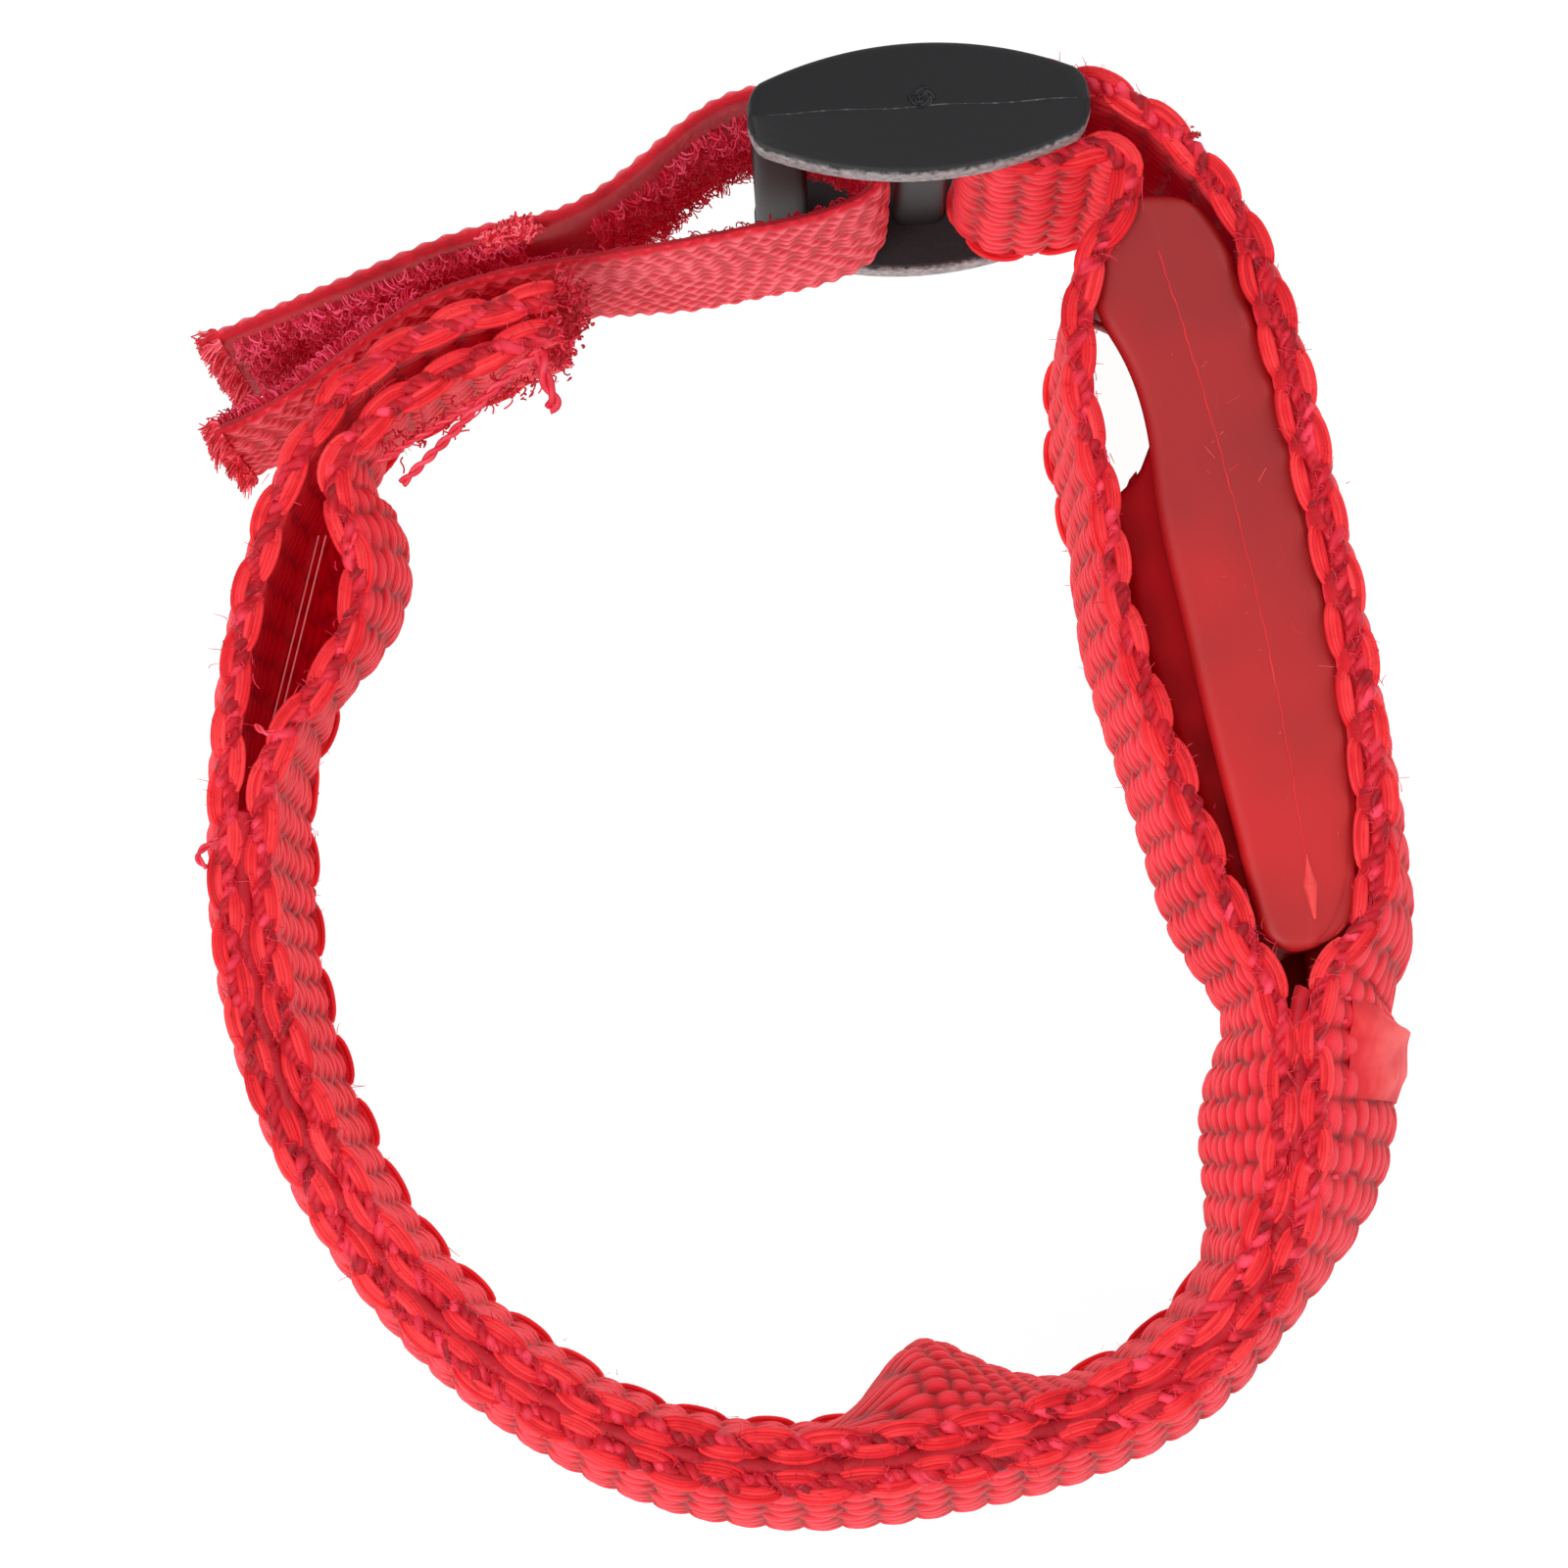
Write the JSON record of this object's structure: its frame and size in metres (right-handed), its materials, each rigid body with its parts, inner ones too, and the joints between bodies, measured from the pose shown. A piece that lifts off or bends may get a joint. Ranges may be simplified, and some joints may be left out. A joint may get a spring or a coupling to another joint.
{
  "type": "lighted webbing wristband",
  "caption": "Folded webbing wristband with a slide buckle, a hook-and-loop closure strap and a translucent light module in a pocket on its side.",
  "frame": {"origin": "middle of the footprint, on the surface the buckle's lower rail rests on", "axes": "+Z along the band's width (the wrist axis), +Y from the bottom of the ring towards the buckle, +X towards the light module"},
  "size_m": [0.0706, 0.084, 0.031],
  "materials": {
    "webbing": "woven nylon, satin",
    "tape": "woven nylon with loop pile",
    "hook": "moulded hooks on woven ground",
    "thread": "spun polyester",
    "buckle": "fine-grained matte",
    "case": "translucent red, frosted",
    "clear": "clear, flexible",
    "steel": "bright",
    "contact": "nickel-plated spring strip",
    "board": "solder-resist green",
    "led": "clear red",
    "chip": "moulded epoxy",
    "plunger": "moulded"
  },
  "bodies": {
    "band": {"main_webbing": "webbing", "edge_seam_upper": "thread", "edge_seam_lower": "thread", "strap_loop": "tape", "strap_box_stitch": "thread", "light_guide": "clear", "case_outer_shell": "case", "case_inner_shell": "case", "battery_door": "case", "door_screws": "steel", "coin_cells": "steel", "contact_positive": "contact", "contact_negative": "contact", "circuit_board": "board", "leds": "led", "controller_chip": "chip", "switch_body": "chip"},
    "buckle": {"slide_buckle": "buckle"},
    "tail": {"strap_tail": "tape", "hook_patch": "hook"},
    "button": {"button_cap": "case"},
    "plunger": {"switch_plunger": "plunger"}
  },
  "joints": [
    {"name": "buckle_rock", "type": "hinge", "parent": "band", "child": "buckle", "pos_m": [0.01424, 0.03865, 0.0155], "axis": [0, 0, 1], "range_deg": [0, 8]},
    {"name": "tail_peel", "type": "hinge", "parent": "band", "child": "tail", "pos_m": [-0.01405, 0.03214, 0.0155], "axis": [0, 0, -1], "range_deg": [0, 100]},
    {"name": "button_press", "type": "slide", "parent": "band", "child": "button", "axis": [-0.9744, -0.225, 0], "range_m": [0, 0.0003]},
    {"name": "plunger_travel", "type": "slide", "parent": "band", "child": "plunger", "axis": [-0.9744, -0.225, 0], "range_m": [0, 0.0003]}
  ],
  "couplings": [
    {"joint": "plunger_travel", "follows": "button_press", "ratio": 1}
  ]
}
